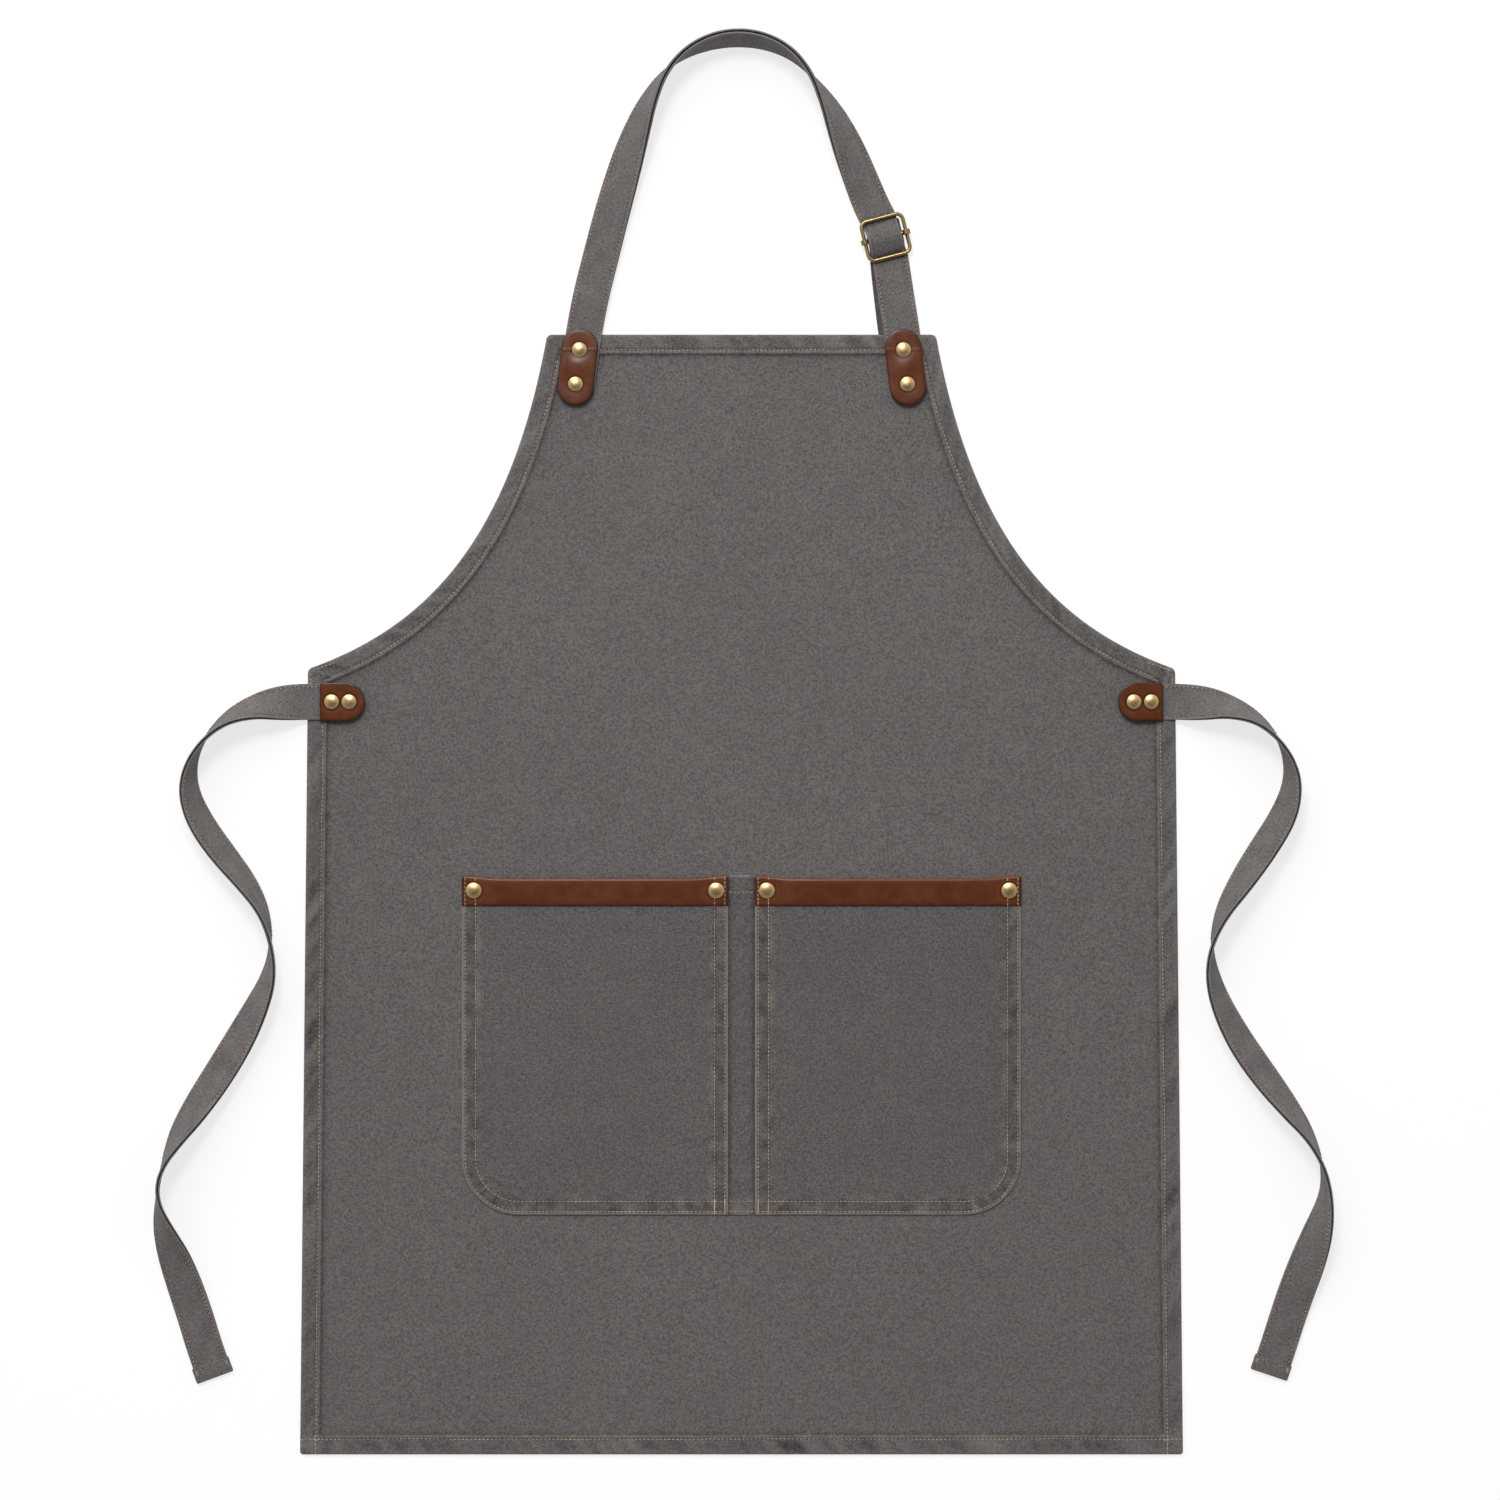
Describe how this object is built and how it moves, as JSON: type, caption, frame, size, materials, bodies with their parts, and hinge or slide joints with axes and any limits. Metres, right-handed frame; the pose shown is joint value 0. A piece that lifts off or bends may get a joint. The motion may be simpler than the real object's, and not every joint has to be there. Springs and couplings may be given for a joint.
{
  "type": "butcher apron",
  "caption": "Flat-lying canvas bib apron with riveted leather tabs, adjustable neck strap with a metal slider, waist ties, and leather-topped pockets with a pen slot between them.",
  "frame": {"origin": "under the middle of the apron without its loose straps, on the surface it lies on: halfway between the bottom hem and the top of the neck tabs, on the apron's middle line", "axes": "+Y from the bottom hem to the neck, +Z out of the front face, away from the surface it lies on, +X to the right seen from the front"},
  "size_m": [0.9118, 1.1004, 0.028],
  "materials": {
    "body_canvas": "washed grey-brown canvas, matt, fine twill",
    "pocket_canvas": "washed grey-brown canvas, matt, slightly darker",
    "strap_canvas": "folded and stitched canvas strap, matt",
    "tab_leather": "oiled brown leather, smooth, half gloss",
    "trim_leather": "oiled brown leather, smooth, half gloss",
    "rivet_brass": "polished antique gold",
    "slider_brass": "dark antique brass, worn bright on the edges",
    "stitch_thread": "tan-grey polyester sewing thread"
  },
  "bodies": {
    "root": {"body_panel": "body_canvas", "hem_thread": "stitch_thread", "neck_rivet_backs_left": "rivet_brass", "neck_rivet_backs_right": "rivet_brass", "neck_rivet_caps_left": "rivet_brass", "neck_rivet_caps_right": "rivet_brass", "neck_strap": "strap_canvas", "neck_strap_end": "strap_canvas", "neck_tab_left": "tab_leather", "neck_tab_right": "tab_leather", "pen_slot_panel": "pocket_canvas", "pen_slot_thread": "stitch_thread", "pocket_panel_left": "pocket_canvas", "pocket_panel_right": "pocket_canvas", "pocket_rivet_backs_left": "rivet_brass", "pocket_rivet_backs_right": "rivet_brass", "pocket_rivet_caps_left": "rivet_brass", "pocket_rivet_caps_right": "rivet_brass", "pocket_thread_left": "stitch_thread", "pocket_thread_right": "stitch_thread", "pocket_trim_left": "trim_leather", "pocket_trim_right": "trim_leather", "slider_stay": "strap_canvas", "waist_rivet_backs_left": "rivet_brass", "waist_rivet_backs_right": "rivet_brass", "waist_rivet_caps_left": "rivet_brass", "waist_rivet_caps_right": "rivet_brass", "waist_tab_left": "tab_leather", "waist_tab_right": "tab_leather", "waist_tie_left": "strap_canvas", "waist_tie_right": "strap_canvas"},
    "slider": {"slider_frame": "slider_brass"},
    "slider_bar": {"slider_bar": "slider_brass"}
  },
  "joints": [
    {"name": "slider_travel", "type": "slide", "parent": "root", "child": "slider", "axis": [-0.2504, 0.9681, 0], "range_m": [-0.03, 0.04], "deforming": ["neck_strap", "neck_strap_end", "slider_stay"]},
    {"name": "bar_play", "type": "slide", "parent": "slider", "child": "slider_bar", "axis": [-0.2504, 0.9681, 0], "range_m": [-0.002, 0.002]}
  ]
}
